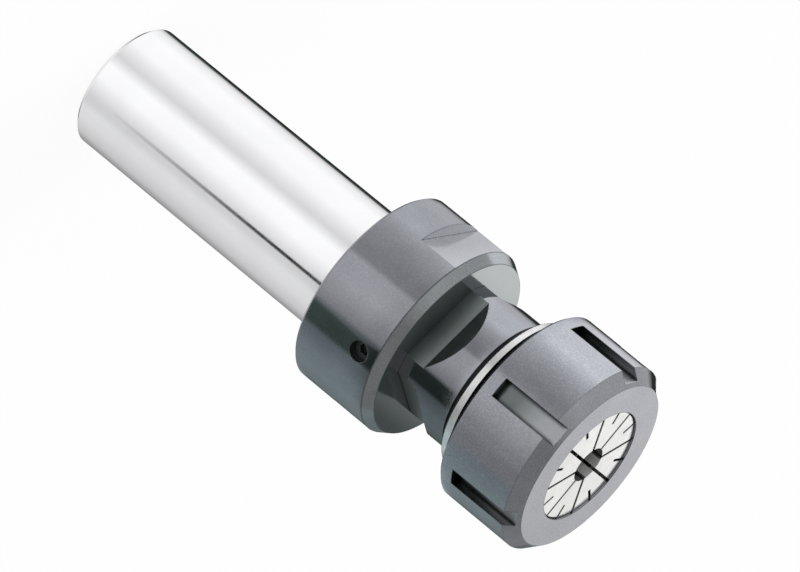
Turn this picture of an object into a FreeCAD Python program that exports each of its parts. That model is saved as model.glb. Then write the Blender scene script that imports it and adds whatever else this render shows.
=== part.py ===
import FreeCAD, Part
import Sketcher

import os

# Floating tapping chuck with a straight shank and a 32 series collet, standing on its shank.
# Z runs along the spindle, from the shank's rear end at zero up to the collet.
# Lengths are in millimetres and angles in degrees, turned about Z from +X.

SIZES = {
    # Straight shank and collar, turned from one bar
    "shank_diameter": 32.0,
    "shank_length": 80.0,
    "shank_edge": 1.0,
    "collar_diameter": 50.0,
    "collar_length": 21.2,
    "collar_edge": 0.6,
    "bore_edge": 0.4,
    # Two wrench flats on the front half of the collar
    "wrench_flat_count": 2,
    "wrench_flat_depth": 3.0,
    "wrench_flat_start": 10.5,
    "wrench_flat_angle": 204.4,
    # Stepped bore, from the guide at the front to the plug at the rear
    "collar_rim": 5.0,
    "guide_bore_depth": 10.2,
    "chamber_step": 1.7,
    "collar_wall": 3.0,
    "shank_wall": 3.5,
    "seat_shoulder": 0.5,
    "rear_bore_depth": 46.5,
    # Guide cap, whose square opening carries the torque
    "cap_length": 2.6,
    "cap_bevel": 1.6,
    "spigot_edge": 0.5,
    "spigot_gap": 0.2,
    "seal_wire": 1.5,
    "seal_inset": 1.0,
    "seal_room": 0.05,
    # Dog point screws that hold the cap in the collar
    "screw_diameter": 5.0,
    "screw_setback": 4.7,
    "screw_recess": 2.4,
    "screw_end_gap": 0.4,
    "screw_socket": 2.5,
    "screw_socket_depth": 1.5,
    "dog_diameter": 3.4,
    "dog_length": 2.2,
    "screw_angle": 301.0,
    # Spindle neck with its four driving flats
    "neck_room": 0.8,
    "neck_exposed": 17.2,
    "neck_edge": 0.5,
    "flat_depth": 3.5,
    "flat_count": 4,
    "flat_angle": 255.0,
    "run_out_length": 4.9,
    "compression_travel": 5.0,
    "tension_travel": 10.0,
    # Spindle stem, which slides in the shank
    "stem_length": 28.2,
    "stem_seal_place": 8.5,
    "rod_step": 1.0,
    # Threaded nose and taper seat
    "thread_shoulder": 2.5,
    "thread_exposed": 4.6,
    "thread_edge": 0.5,
    "nose_gap": 0.6,
    "nose_edge": 0.8,
    "tap_bore_diameter": 16.0,
    "tap_bore_depth": 13.5,
    "taper_relief": 2.4,
    # Collet
    "nose_wall": 3.5,
    "collet_length": 40.0,
    "collet_setback": 0.5,
    "collet_head_length": 5.0,
    "collet_groove_width": 3.3,
    "collet_groove_depth": 1.9,
    "collet_bore": 9.0,
    "collet_angle": 270.0,
    "taper_angle": 8.0,
    "clamp_angle": 30.0,
    "slit_count": 8,
    "slit_width": 0.75,
    "front_slit_web": 5.2,
    "rear_slit_web": 3.4,
    "rim_slit_reach": 3.55,
    # Collet nut
    "nut_wall": 5.0,
    "nut_length": 22.5,
    "nut_chamfer": 3.0,
    "nut_rear_edge": 0.6,
    "nut_lip": 1.75,
    "nut_hole_land": 0.9,
    "slot_count": 6,
    "slot_width": 5.0,
    "slot_depth": 2.3,
    "slot_start": 3.8,
    "slot_angle": 268.0,
    # Extractor ring, set off centre in the nut
    "ring_shoulder": 1.5,
    "ring_bore_room": 1.3,
    "ring_offset": 0.8,
    "ring_gap": 0.3,
    "ring_seat_depth": 1.3,
    # Fixed spring seat and its retaining ring
    "seat_thickness": 4.0,
    "seat_room": 0.4,
    "clip_thickness": 1.2,
    "clip_reach": 1.1,
    "clip_groove_depth": 0.7,
    "clip_opening": 50.0,
    # Springs of flat wire
    "spring_room": 1.7,
    "spring_wire_depth": 2.8,
    "spring_wire": 1.8,
    "compression_coils": 3.5,
    "tension_coils": 4.0,
    "tension_spring_length": 18.0,
    "thrust_washer_thickness": 1.0,
    # Tail rod, spring cup and nut
    "hub_wall": 1.4,
    "rod_thread_length": 13.0,
    "rod_tip": 0.7,
    "rod_edge": 0.5,
    "cup_room": 0.9,
    "cup_flange": 2.5,
    "hub_room": 0.6,
    "tail_nut_wall": 3.5,
    "tail_nut_thickness": 6.0,
    "pin_diameter": 3.0,
    "pin_recess": 0.5,
    "pin_place": 4.5,
    # Tap stop screw and rear plug
    "stop_screw_length": 12.0,
    "stop_screw_place": 4.0,
    "stop_screw_socket": 5.0,
    "stop_screw_socket_depth": 4.0,
    "plug_setback": 1.5,
    "plug_length": 8.0,
    "plug_socket": 12.0,
    "plug_socket_depth": 4.0,
    # Clearances
    "slide_clearance": 0.04,
    "flat_clearance": 0.05,
    "thread_clearance": 0.05,
    "taper_clearance": 0.04,
    "seated_clearance": 0.02,
    "stop_gap": 0.2,
}

# Diameters, then heights along Z, each worked out from the sizes
PLACES = {
    "guide_bore_diameter": "Sizes.collar_diameter - 2 * Sizes.collar_rim",
    "chamber_diameter": "guide_bore_diameter - 2 * Sizes.chamber_step",
    "neck_diameter": "chamber_diameter - 2 * Sizes.neck_room",
    "flat_across": "neck_diameter - 2 * Sizes.flat_depth",
    "thread_diameter": "neck_diameter + 2 * Sizes.thread_shoulder",
    "nut_diameter": "thread_diameter + 2 * Sizes.nut_wall",
    "ring_diameter": "thread_diameter - 2 * Sizes.ring_shoulder",
    "collet_diameter": "thread_diameter - 2 * Sizes.nose_wall",
    "collet_groove_diameter": "collet_diameter - 2 * Sizes.collet_groove_depth",
    "nut_hole_diameter": "collet_diameter - 2 * Sizes.nut_lip",
    "rim_slit_diameter": "nut_hole_diameter - 2 * Sizes.rim_slit_reach",
    "ring_bore": "collet_groove_diameter + 2 * Sizes.ring_bore_room",
    "cap_face_diameter": "Sizes.collar_diameter - 2 * Sizes.cap_bevel",
    "rear_bore_diameter": "Sizes.shank_diameter - 2 * Sizes.shank_wall",
    "stem_diameter": "rear_bore_diameter - 2 * Sizes.seat_shoulder",
    "pin_length": "stem_diameter - 2 * Sizes.pin_recess",
    "clip_bore": "rear_bore_diameter - 2 * Sizes.clip_reach",
    "cup_diameter": "rear_bore_diameter - 2 * Sizes.cup_room",
    "spring_outer": "rear_bore_diameter - 2 * Sizes.spring_room",
    "spring_inner": "spring_outer - 2 * Sizes.spring_wire_depth",
    "hub_diameter": "spring_inner - 2 * Sizes.hub_room",
    "rod_diameter": "hub_diameter - 2 * Sizes.hub_wall",
    "rod_thread_diameter": "rod_diameter - 2 * Sizes.rod_step",
    "seat_bore": "rod_diameter + 2 * Sizes.seat_room",
    "tail_nut_across": "rod_diameter + 2 * Sizes.tail_nut_wall",
    "screw_body": "Sizes.collar_rim - Sizes.screw_recess - Sizes.screw_end_gap",
    "seam": "Sizes.shank_length + Sizes.collar_length",
    "cap_face": "seam + Sizes.cap_length",
    "shoulder": "cap_face + Sizes.neck_exposed",
    "nut_rear": "shoulder + Sizes.thread_exposed",
    "nut_face": "nut_rear + Sizes.nut_length",
    "guide_floor": "seam - Sizes.guide_bore_depth",
    "chamber_floor": "Sizes.shank_length + Sizes.collar_wall",
    "screw_height": "seam - Sizes.screw_setback",
    "neck_rear": "chamber_floor + Sizes.compression_travel + Sizes.stop_gap",
    "flat_end": "cap_face + Sizes.compression_travel + Sizes.stop_gap",
    "stem_rear": "neck_rear - Sizes.stem_length",
    "collet_front": "nut_face - Sizes.collet_setback",
    "collet_rear": "collet_front - Sizes.collet_length",
    "cone_top": "collet_front - Sizes.collet_head_length - Sizes.collet_groove_width",
    "taper_floor": "collet_rear - Sizes.taper_relief",
    "tap_bore_floor": "taper_floor - Sizes.tap_bore_depth",
    "seat_front": "Sizes.rear_bore_depth",
    "seat_rear": "seat_front - Sizes.seat_thickness",
    "spring_top": "stem_rear - Sizes.thrust_washer_thickness",
    "cup_front": "seat_rear - Sizes.tension_spring_length",
    "cup_rear": "cup_front - Sizes.cup_flange",
    "hub_front": "seat_rear - Sizes.tension_travel - Sizes.stop_gap",
    "tail_nut_rear": "cup_rear - Sizes.tail_nut_thickness",
    "ring_front": "collet_front - Sizes.collet_head_length - Sizes.ring_gap",
    "ring_rear": "cone_top + Sizes.ring_gap",
    "ring_seat": "ring_rear - Sizes.ring_seat_depth",
    "nose_front": "ring_seat - Sizes.nose_gap",
}

doc = FreeCAD.newDocument("TappingChuck")
sizes = doc.addObject("Spreadsheet::Sheet", "Sizes")
for row, (name, value) in enumerate(SIZES.items(), start=1):
    sizes.set(f"A{row}", name)
    sizes.set(f"B{row}", str(value))
    sizes.setAlias(f"B{row}", name)
doc.recompute()

places = doc.addObject("Spreadsheet::Sheet", "Places")
for row, (name, formula) in enumerate(PLACES.items(), start=1):
    places.set(f"A{row}", name)
    places.setAlias(f"B{row}", name)
for row, formula in enumerate(PLACES.values(), start=1):
    places.set(f"B{row}", "=" + formula)
doc.recompute()


def half(name):
    """The radius that goes with a diameter of either sheet."""
    sheet = "Sizes" if name in SIZES else "Places"
    return f"{sheet}.{name} / 2"


def value_of(expression):
    """The number that an expression over the sheets has now."""
    return float(sizes.evalExpression(expression))


def add_body(label):
    """A new body with its own label."""
    body = doc.addObject("PartDesign::Body", label)
    body.Label = label
    return body


def upright_sketch(body, name, corners, turn=None, lift=None):
    """A closed outline in the plane of X and Z, each corner held by two distances.

    Corners are pairs of expressions, for the distance from the axis and the height.
    A turn swings the sketch about Z, and a lift raises its origin.
    """
    sketch = body.newObject("Sketcher::SketchObject", name)
    plane = [part for part in body.Origin.OriginFeatures if part.Role == "XZ_Plane"][0]
    sketch.AttachmentSupport = [(plane, "")]
    sketch.MapMode = "FlatFace"
    if turn:
        sketch.AttachmentOffset = FreeCAD.Placement(
            FreeCAD.Vector(0, 0, 0), FreeCAD.Rotation(FreeCAD.Vector(0, 1, 0), 1))
        sketch.setExpression(".AttachmentOffset.Rotation.Angle", turn)
    if lift:
        sketch.setExpression(".AttachmentOffset.Base.y", lift)
    points = [FreeCAD.Vector(value_of(across), value_of(height), 0) for across, height in corners]
    for index, point in enumerate(points):
        following = points[(index + 1) % len(points)]
        sketch.addGeometry(Part.LineSegment(point, following), False)
    for index in range(len(points)):
        following = (index + 1) % len(points)
        sketch.addConstraint(Sketcher.Constraint("Coincident", index, 2, following, 1))
    for index, (across, height) in enumerate(corners):
        hold(sketch, index, "DistanceX", across, -2)
        hold(sketch, index, "DistanceY", height, -1)
    return sketch


def hold(sketch, index, direction, expression, axis):
    """Tie the start of one line to the sheet, or to an axis where the distance is nothing."""
    if expression == "0":
        sketch.addConstraint(Sketcher.Constraint("PointOnObject", index, 1, axis))
        return
    value = value_of(expression)
    number = sketch.addConstraint(Sketcher.Constraint(direction, -1, 1, index, 1, value))
    sketch.setExpression(f"Constraints[{number}]", expression)


def revolve(body, name, corners, axis="V_Axis", angle=None, lift=None):
    """Turn an outline about the spindle axis, or about the sketch's own level line."""
    sketch = upright_sketch(body, name + "Outline", corners, lift=lift)
    turned = body.newObject("PartDesign::Revolution", name)
    turned.Profile = sketch
    turned.ReferenceAxis = (sketch, [axis])
    turned.Angle = 360
    if angle:
        turned.setExpression("Angle", angle)
    body.Tip = turned
    doc.recompute()
    return turned


def mill(body, name, corners, width, count, turn=None):
    """Cut an outline symmetrically to a width, and repeat the cut round the axis."""
    before = body.Shape.Volume
    sketch = upright_sketch(body, name + "Outline", corners, turn=turn)
    pocket = body.newObject("PartDesign::Pocket", name)
    pocket.Profile = sketch
    pocket.Type = 0
    pocket.Midplane = True
    pocket.setExpression("Length", width)
    doc.recompute()
    single = before - body.Shape.Volume
    pattern = body.newObject("PartDesign::PolarPattern", name + "Pattern")
    pattern.Originals = [pocket]
    pattern.Axis = (sketch, ["V_Axis"])
    pattern.Angle = 360
    pattern.setExpression("Occurrences", count)
    body.Tip = pattern
    doc.recompute()
    if single <= 0 or before - body.Shape.Volume <= single:
        raise RuntimeError(f"{name} cuts nothing")
    return pattern


def drill(body, name, radius, height, length, turn):
    """Cut a level round hole right through the axis."""
    before = body.Shape.Volume
    sketch = body.newObject("Sketcher::SketchObject", name + "Outline")
    plane = [part for part in body.Origin.OriginFeatures if part.Role == "YZ_Plane"][0]
    sketch.AttachmentSupport = [(plane, "")]
    sketch.MapMode = "FlatFace"
    sketch.AttachmentOffset = FreeCAD.Placement(
        FreeCAD.Vector(0, 0, 0), FreeCAD.Rotation(FreeCAD.Vector(0, 1, 0), 1))
    sketch.setExpression(".AttachmentOffset.Rotation.Angle", turn)
    centre = FreeCAD.Vector(0, value_of(height), 0)
    sketch.addGeometry(Part.Circle(centre, FreeCAD.Vector(0, 0, 1), value_of(radius)), False)
    sketch.addConstraint(Sketcher.Constraint("PointOnObject", 0, 3, -2))
    raised = sketch.addConstraint(Sketcher.Constraint("DistanceY", -1, 1, 0, 3, value_of(height)))
    sketch.setExpression(f"Constraints[{raised}]", height)
    sized = sketch.addConstraint(Sketcher.Constraint("Radius", 0, value_of(radius)))
    sketch.setExpression(f"Constraints[{sized}]", radius)
    hole = body.newObject("PartDesign::Pocket", name)
    hole.Profile = sketch
    hole.Type = 0
    hole.Midplane = True
    hole.setExpression("Length", length)
    body.Tip = hole
    doc.recompute()
    if body.Shape.Volume >= before:
        raise RuntimeError(f"{name} cuts nothing")
    return hole


def place(item, height=None, angle=None):
    """Raise an object along Z and turn it about Z, both from the sheets."""
    if height:
        item.setExpression(".Placement.Base.z", height)
    if angle:
        item.setExpression(".Placement.Rotation.Angle", angle)


def cylinder(name, radius, length, height=None):
    """A plain round bar on the axis."""
    bar = doc.addObject("Part::Cylinder", name)
    bar.setExpression("Radius", radius)
    bar.setExpression("Height", length)
    place(bar, height)
    return bar


def hexagon(name, across, length, height):
    """A hexagonal bar on the axis, given by its width across the flats."""
    bar = doc.addObject("Part::Prism", name)
    bar.Polygon = 6
    bar.setExpression("Circumradius", f"{across} / 2 / cos(30)")
    bar.setExpression("Height", length)
    place(bar, height)
    return bar


def combine(kind, label, base, tool):
    """Join, cut or intersect two objects under one label."""
    result = doc.addObject(f"Part::{kind}", label)
    result.Base = base
    result.Tool = tool
    result.Label = label
    return result


def flat_spring(label, base, length, coils):
    """A coil of flat wire, swept along its helix and ground square at both ends."""
    helix = doc.addObject("Part::Helix", label + "_helix")
    helix.setExpression("Radius", "(Places.spring_outer + Places.spring_inner) / 4")
    helix.setExpression("Height", length)
    helix.setExpression("Pitch", f"{length} / {coils}")
    place(helix, base)
    wire = doc.addObject("Part::Plane", label + "_wire")
    wire.Placement = FreeCAD.Placement(
        FreeCAD.Vector(0, 0, 0), FreeCAD.Rotation(FreeCAD.Vector(1, 0, 0), 90))
    wire.setExpression("Length", "(Places.spring_outer - Places.spring_inner) / 2")
    wire.setExpression("Width", "Sizes.spring_wire")
    wire.setExpression(".Placement.Base.x", half("spring_inner"))
    place(wire, f"{base} - Sizes.spring_wire / 2")
    doc.recompute()
    coil = doc.addObject("Part::Sweep", label + "_coil")
    coil.Sections = [wire]
    coil.Spine = (helix, [f"Edge{index + 1}" for index in range(len(helix.Shape.Edges))])
    coil.Solid = True
    coil.Frenet = True
    combine("Common", label, coil, cylinder(label + "_ends", half("collar_diameter"), length, base))


def ring_seal(label, outer, base):
    """A rubber ring of square section, lying in its groove."""
    inner = cylinder(label + "_bore", f"{outer} - Sizes.seal_wire", "Places.nut_face")
    combine("Cut", label, cylinder(label + "_bar", outer, "Sizes.seal_wire", base), inner)


# Shank and collar
shank = add_body("shank_body")
clip_groove = "Places.rear_bore_diameter / 2 + Sizes.clip_groove_depth"
revolve(shank, "ShankBar", [
    (f"{half('rear_bore_diameter')} + Sizes.bore_edge", "0"),
    (f"{half('shank_diameter')} - Sizes.shank_edge", "0"),
    (half("shank_diameter"), "Sizes.shank_edge"),
    (half("shank_diameter"), "Sizes.shank_length"),
    (f"{half('collar_diameter')} - Sizes.collar_edge", "Sizes.shank_length"),
    (half("collar_diameter"), "Sizes.shank_length + Sizes.collar_edge"),
    (half("collar_diameter"), "Places.seam"),
    (half("guide_bore_diameter"), "Places.seam"),
    (half("guide_bore_diameter"), "Places.guide_floor"),
    (half("chamber_diameter"), "Places.guide_floor"),
    (half("chamber_diameter"), "Places.chamber_floor"),
    (half("stem_diameter"), "Places.chamber_floor"),
    (half("stem_diameter"), "Places.seat_front"),
    (half("rear_bore_diameter"), "Places.seat_front"),
    (half("rear_bore_diameter"), "Places.seat_rear"),
    (clip_groove, "Places.seat_rear"),
    (clip_groove, "Places.seat_rear - Sizes.clip_thickness - Sizes.seated_clearance"),
    (half("rear_bore_diameter"),
     "Places.seat_rear - Sizes.clip_thickness - Sizes.seated_clearance"),
    (half("rear_bore_diameter"), "Sizes.bore_edge"),
])
wrench_flat = f"{half('collar_diameter')} - Sizes.wrench_flat_depth"
mill(shank, "WrenchFlat", [
    (wrench_flat, "Sizes.shank_length + Sizes.wrench_flat_start"),
    ("Sizes.collar_diameter", "Sizes.shank_length + Sizes.wrench_flat_start"),
    ("Sizes.collar_diameter", "Places.cap_face"),
    (wrench_flat, "Places.cap_face"),
], "Sizes.collar_diameter", "Sizes.wrench_flat_count", turn="Sizes.wrench_flat_angle")
drill(shank, "ScrewHole", "Sizes.screw_diameter / 2 + Sizes.seated_clearance",
      "Places.screw_height", "2 * Sizes.collar_diameter", "Sizes.screw_angle")

# Guide cap, a flanged bush with a square opening for the neck
cap_bar = add_body("CapBar")
spigot = f"{half('guide_bore_diameter')} - Sizes.seated_clearance"
cap_groove_top = "Places.seam - Sizes.seal_inset"
cap_groove_base = f"{cap_groove_top} - Sizes.seal_wire - 2 * Sizes.seal_room"
cap_groove = f"{spigot} - Sizes.seal_wire - Sizes.seal_room"
revolve(cap_bar, "CapTurning", [
    (half("tap_bore_diameter"), "Places.guide_floor + Sizes.spigot_gap"),
    (f"{spigot} - Sizes.spigot_edge", "Places.guide_floor + Sizes.spigot_gap"),
    (spigot, "Places.guide_floor + Sizes.spigot_gap + Sizes.spigot_edge"),
    (spigot, cap_groove_base),
    (cap_groove, cap_groove_base),
    (cap_groove, cap_groove_top),
    (spigot, cap_groove_top),
    (spigot, "Places.seam"),
    (half("collar_diameter"), "Places.seam"),
    (half("cap_face_diameter"), "Places.cap_face"),
    (half("tap_bore_diameter"), "Places.cap_face"),
])
drill(cap_bar, "DogHole", "Sizes.dog_diameter / 2 + Sizes.flat_clearance",
      "Places.screw_height", "2 * Sizes.collar_diameter", "Sizes.screw_angle")
opening_side = "(Places.flat_across + 2 * Sizes.flat_clearance)"
opening = doc.addObject("Part::Box", "OpeningSides")
opening.setExpression("Length", opening_side)
opening.setExpression("Width", opening_side)
opening.setExpression("Height", "Places.nut_face")
opening.setExpression(".Placement.Base.x", f"-{opening_side} / 2")
opening.setExpression(".Placement.Base.y", f"-{opening_side} / 2")
opening_round = cylinder("OpeningRound", f"{half('neck_diameter')} + Sizes.flat_clearance",
                         "Places.nut_face")
opening_tool = combine("Common", "OpeningTool", opening, opening_round)
place(opening_tool, angle="Sizes.flat_angle")
combine("Cut", "guide_cap", cap_bar, opening_tool)
ring_seal("cap_seal", spigot, f"{cap_groove_base} + Sizes.seal_room")

# Two dog point screws through the collar into the cap
screw_outer = f"{half('collar_diameter')} - Sizes.screw_recess"
screw_inner = f"{screw_outer} - Places.screw_body"
screw = add_body("ScrewTurning")
revolve(screw, "ScrewBar", [
    (f"{screw_inner} - Sizes.dog_length", "0"),
    (screw_outer, "0"),
    (screw_outer, half("screw_diameter")),
    (screw_inner, half("screw_diameter")),
    (screw_inner, half("dog_diameter")),
    (f"{screw_inner} - Sizes.dog_length", half("dog_diameter")),
], axis="H_Axis", lift="Places.screw_height")
socket = hexagon("ScrewSocket", "Sizes.screw_socket", "Sizes.screw_socket_depth",
                 "Places.screw_height")
socket.Placement = FreeCAD.Placement(
    FreeCAD.Vector(0, 0, 0), FreeCAD.Rotation(FreeCAD.Vector(0, 1, 0), 90))
socket.setExpression(".Placement.Base.x", f"{screw_outer} - Sizes.screw_socket_depth")
front_screw = combine("Cut", "FrontScrew", screw, socket)
back_screw = doc.addObject("Part::Mirroring", "BackScrew")
back_screw.Source = front_screw
back_screw.Normal = FreeCAD.Vector(1, 0, 0)
screws = doc.addObject("Part::Compound", "cap_screws")
screws.Links = [front_screw, back_screw]
screws.Label = "cap_screws"
place(screws, angle="Sizes.screw_angle")

# Spindle, with its sliding stem, flatted neck, threaded nose and taper
spindle = add_body("spindle")
stem = f"{half('stem_diameter')} - Sizes.slide_clearance"
rod_hole = f"{half('rod_thread_diameter')} + Sizes.seated_clearance"
stem_groove_base = "Places.stem_rear + Sizes.stem_seal_place"
stem_groove_top = f"{stem_groove_base} + Sizes.seal_wire + 2 * Sizes.seal_room"
stem_groove = f"{stem} - Sizes.seal_wire - Sizes.seal_room"
taper_start = f"{half('collet_diameter')} + Sizes.taper_clearance / cos(Sizes.taper_angle)"
revolve(spindle, "SpindleBar", [
    (rod_hole, "Places.stem_rear"),
    (stem, "Places.stem_rear"),
    (stem, stem_groove_base),
    (stem_groove, stem_groove_base),
    (stem_groove, stem_groove_top),
    (stem, stem_groove_top),
    (stem, "Places.neck_rear"),
    (f"{half('neck_diameter')} - Sizes.neck_edge", "Places.neck_rear"),
    (half("neck_diameter"), "Places.neck_rear + Sizes.neck_edge"),
    (half("neck_diameter"), "Places.shoulder"),
    (f"{half('thread_diameter')} - Sizes.thread_edge", "Places.shoulder"),
    (half("thread_diameter"), "Places.shoulder + Sizes.thread_edge"),
    (half("thread_diameter"), "Places.nose_front - Sizes.nose_edge"),
    (f"{half('thread_diameter')} - Sizes.nose_edge", "Places.nose_front"),
    (f"{taper_start} - (Places.cone_top - Places.nose_front) * tan(Sizes.taper_angle)",
     "Places.nose_front"),
    (f"{taper_start} - (Places.cone_top - Places.taper_floor) * tan(Sizes.taper_angle)",
     "Places.taper_floor"),
    (half("tap_bore_diameter"), "Places.taper_floor"),
    (half("tap_bore_diameter"), "Places.tap_bore_floor"),
    (rod_hole, "Places.tap_bore_floor"),
])
mill(spindle, "NeckFlat", [
    (half("flat_across"), "Places.neck_rear - Sizes.neck_edge"),
    (half("flat_across"), "Places.flat_end"),
    (half("neck_diameter"), "Places.flat_end + Sizes.run_out_length"),
    (half("thread_diameter"), "Places.flat_end + Sizes.run_out_length"),
    (half("thread_diameter"), "Places.neck_rear - Sizes.neck_edge"),
], "Places.neck_diameter", "Sizes.flat_count", turn="Sizes.flat_angle")
drill(spindle, "PinHole", f"{half('pin_diameter')} + Sizes.seated_clearance",
      "Places.stem_rear + Sizes.pin_place", "Places.stem_diameter", "0")
ring_seal("stem_seal", stem, f"{stem_groove_base} + Sizes.seal_room")

# Tail rod, pinned in the stem
rod = add_body("tail_rod")
revolve(rod, "RodBar", [
    ("0", "Places.tail_nut_rear - Sizes.rod_tip"),
    (f"{half('rod_diameter')} - Sizes.rod_edge", "Places.tail_nut_rear - Sizes.rod_tip"),
    (half("rod_diameter"), "Places.tail_nut_rear - Sizes.rod_tip + Sizes.rod_edge"),
    (half("rod_diameter"), "Places.stem_rear"),
    (half("rod_thread_diameter"), "Places.stem_rear"),
    (half("rod_thread_diameter"),
     "Places.stem_rear + Sizes.rod_thread_length - Sizes.rod_edge"),
    (f"{half('rod_thread_diameter')} - Sizes.rod_edge",
     "Places.stem_rear + Sizes.rod_thread_length"),
    ("0", "Places.stem_rear + Sizes.rod_thread_length"),
])
drill(rod, "RodPinHole", f"{half('pin_diameter')} + Sizes.seated_clearance",
      "Places.stem_rear + Sizes.pin_place", "Places.stem_diameter", "0")
pin = doc.addObject("Part::Cylinder", "rod_pin")
pin.Placement = FreeCAD.Placement(
    FreeCAD.Vector(0, 0, 0), FreeCAD.Rotation(FreeCAD.Vector(0, 1, 0), 90))
pin.setExpression("Radius", half("pin_diameter"))
pin.setExpression("Height", "Places.pin_length")
pin.setExpression(".Placement.Base.x", "-Places.pin_length / 2")
place(pin, "Places.stem_rear + Sizes.pin_place")
pin.Label = "rod_pin"

# Spring cup and nut on the tail of the rod
cup = add_body("spring_cup")
rod_fit = f"{half('rod_diameter')} + Sizes.seated_clearance"
revolve(cup, "CupBar", [
    (rod_fit, "Places.cup_rear"),
    (half("cup_diameter"), "Places.cup_rear"),
    (half("cup_diameter"), "Places.cup_front"),
    (half("hub_diameter"), "Places.cup_front"),
    (half("hub_diameter"), "Places.hub_front"),
    (rod_fit, "Places.hub_front"),
])
combine("Cut", "tail_nut",
        hexagon("TailNutBar", "Places.tail_nut_across", "Sizes.tail_nut_thickness",
                "Places.tail_nut_rear"),
        cylinder("TailNutBore", rod_fit, "Places.seam"))

# Fixed spring seat, the ring that keeps it in the bore, and the thrust washer
seat_hole = cylinder("SeatBore", half("seat_bore"), "Places.seam")
combine("Cut", "spring_seat",
        cylinder("SeatBar", f"{half('rear_bore_diameter')} - Sizes.seated_clearance",
                 "Sizes.seat_thickness", "Places.seat_rear"), seat_hole)
clip = add_body("seat_clip")
clip_outer = f"{clip_groove} - Sizes.seated_clearance"
revolve(clip, "ClipBar", [
    (half("clip_bore"), "Places.seat_rear - Sizes.clip_thickness"),
    (clip_outer, "Places.seat_rear - Sizes.clip_thickness"),
    (clip_outer, "Places.seat_rear"),
    (half("clip_bore"), "Places.seat_rear"),
], angle="360 - Sizes.clip_opening")
combine("Cut", "thrust_washer",
        cylinder("WasherBar", half("spring_outer"), "Sizes.thrust_washer_thickness",
                 "Places.spring_top"), seat_hole)

# Springs on both sides of the fixed seat
flat_spring("compression_spring", "Places.seat_front", "(Places.spring_top - Places.seat_front)",
            "Sizes.compression_coils")
flat_spring("tension_spring", "Places.cup_front", "Sizes.tension_spring_length",
            "Sizes.tension_coils")

# Tap stop screw behind the collet
stop_base = "Places.tap_bore_floor + Sizes.stop_screw_place - Sizes.stop_screw_length"
stop_top = "Places.tap_bore_floor + Sizes.stop_screw_place"
combine("Cut", "tap_stop_screw",
        cylinder("StopBar", half("rod_thread_diameter"), "Sizes.stop_screw_length", stop_base),
        hexagon("StopSocket", "Sizes.stop_screw_socket", "Sizes.stop_screw_socket_depth",
                f"{stop_top} - Sizes.stop_screw_socket_depth"))

# Plug in the rear end of the shank
combine("Cut", "rear_plug",
        cylinder("PlugBar", f"{half('rear_bore_diameter')} - Sizes.seated_clearance",
                 "Sizes.plug_length", "Sizes.plug_setback"),
        hexagon("PlugSocket", "Sizes.plug_socket", "Sizes.plug_socket_depth",
                "Sizes.plug_setback"))

# Collet, slit in turn from both ends
collet = add_body("collet")
nut_cone = f"{half('nut_hole_diameter')} - Sizes.nut_hole_land * tan(Sizes.clamp_angle)"
head_tip = f"{nut_cone} - Sizes.taper_clearance / cos(Sizes.clamp_angle)"
head_cone = f"({half('collet_diameter')} - ({head_tip})) / tan(Sizes.clamp_angle)"
collet_cone = "(Places.cone_top - Places.collet_rear) * tan(Sizes.taper_angle)"
revolve(collet, "ColletBar", [
    (half("collet_bore"), "Places.collet_rear"),
    (f"{half('collet_diameter')} - {collet_cone}", "Places.collet_rear"),
    (half("collet_diameter"), "Places.cone_top"),
    (half("collet_groove_diameter"), "Places.cone_top"),
    (half("collet_groove_diameter"), "Places.collet_front - Sizes.collet_head_length"),
    (half("collet_diameter"), "Places.collet_front - Sizes.collet_head_length"),
    (half("collet_diameter"), f"Places.nut_face - {head_cone}"),
    (f"{head_tip} + Sizes.collet_setback * tan(Sizes.clamp_angle)", "Places.collet_front"),
    (half("collet_bore"), "Places.collet_front"),
])
slit_root = "Sizes.slit_width"
slit_outer = "Places.collet_diameter"
past_face = "Places.nut_face + Sizes.slit_width"
past_rear = "Places.collet_rear - Sizes.slit_width"
mill(collet, "FrontSlit", [
    (slit_root, "Places.collet_rear + Sizes.front_slit_web"),
    (slit_outer, "Places.collet_rear + Sizes.front_slit_web"),
    (slit_outer, past_face),
    (slit_root, past_face),
], "Sizes.slit_width", "Sizes.slit_count", turn="Sizes.collet_angle")
mill(collet, "RearSlit", [
    (slit_root, past_rear),
    (slit_outer, past_rear),
    (slit_outer, past_face),
    (half("rim_slit_diameter"), past_face),
    (half("rim_slit_diameter"), "Places.collet_front - Sizes.rear_slit_web"),
    (slit_root, "Places.collet_front - Sizes.rear_slit_web"),
], "Sizes.slit_width", "Sizes.slit_count",
    turn="Sizes.collet_angle + 180 / Sizes.slit_count")

# Collet nut with six hook spanner slots
nut = add_body("collet_nut")
nut_thread = f"{half('thread_diameter')} + Sizes.thread_clearance"
revolve(nut, "NutBar", [
    (nut_thread, "Places.nut_rear"),
    (f"{half('nut_diameter')} - Sizes.nut_rear_edge", "Places.nut_rear"),
    (half("nut_diameter"), "Places.nut_rear + Sizes.nut_rear_edge"),
    (half("nut_diameter"), "Places.nut_face - Sizes.nut_chamfer"),
    (f"{half('nut_diameter')} - Sizes.nut_chamfer", "Places.nut_face"),
    (half("nut_hole_diameter"), "Places.nut_face"),
    (half("nut_hole_diameter"), "Places.nut_face - Sizes.nut_hole_land"),
    (f"{nut_cone} + (Places.nut_face - Places.ring_front) * tan(Sizes.clamp_angle)",
     "Places.ring_front"),
    (half("ring_diameter"), "Places.ring_front"),
    (half("ring_diameter"), "Places.ring_seat"),
    (nut_thread, "Places.ring_seat"),
])
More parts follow.
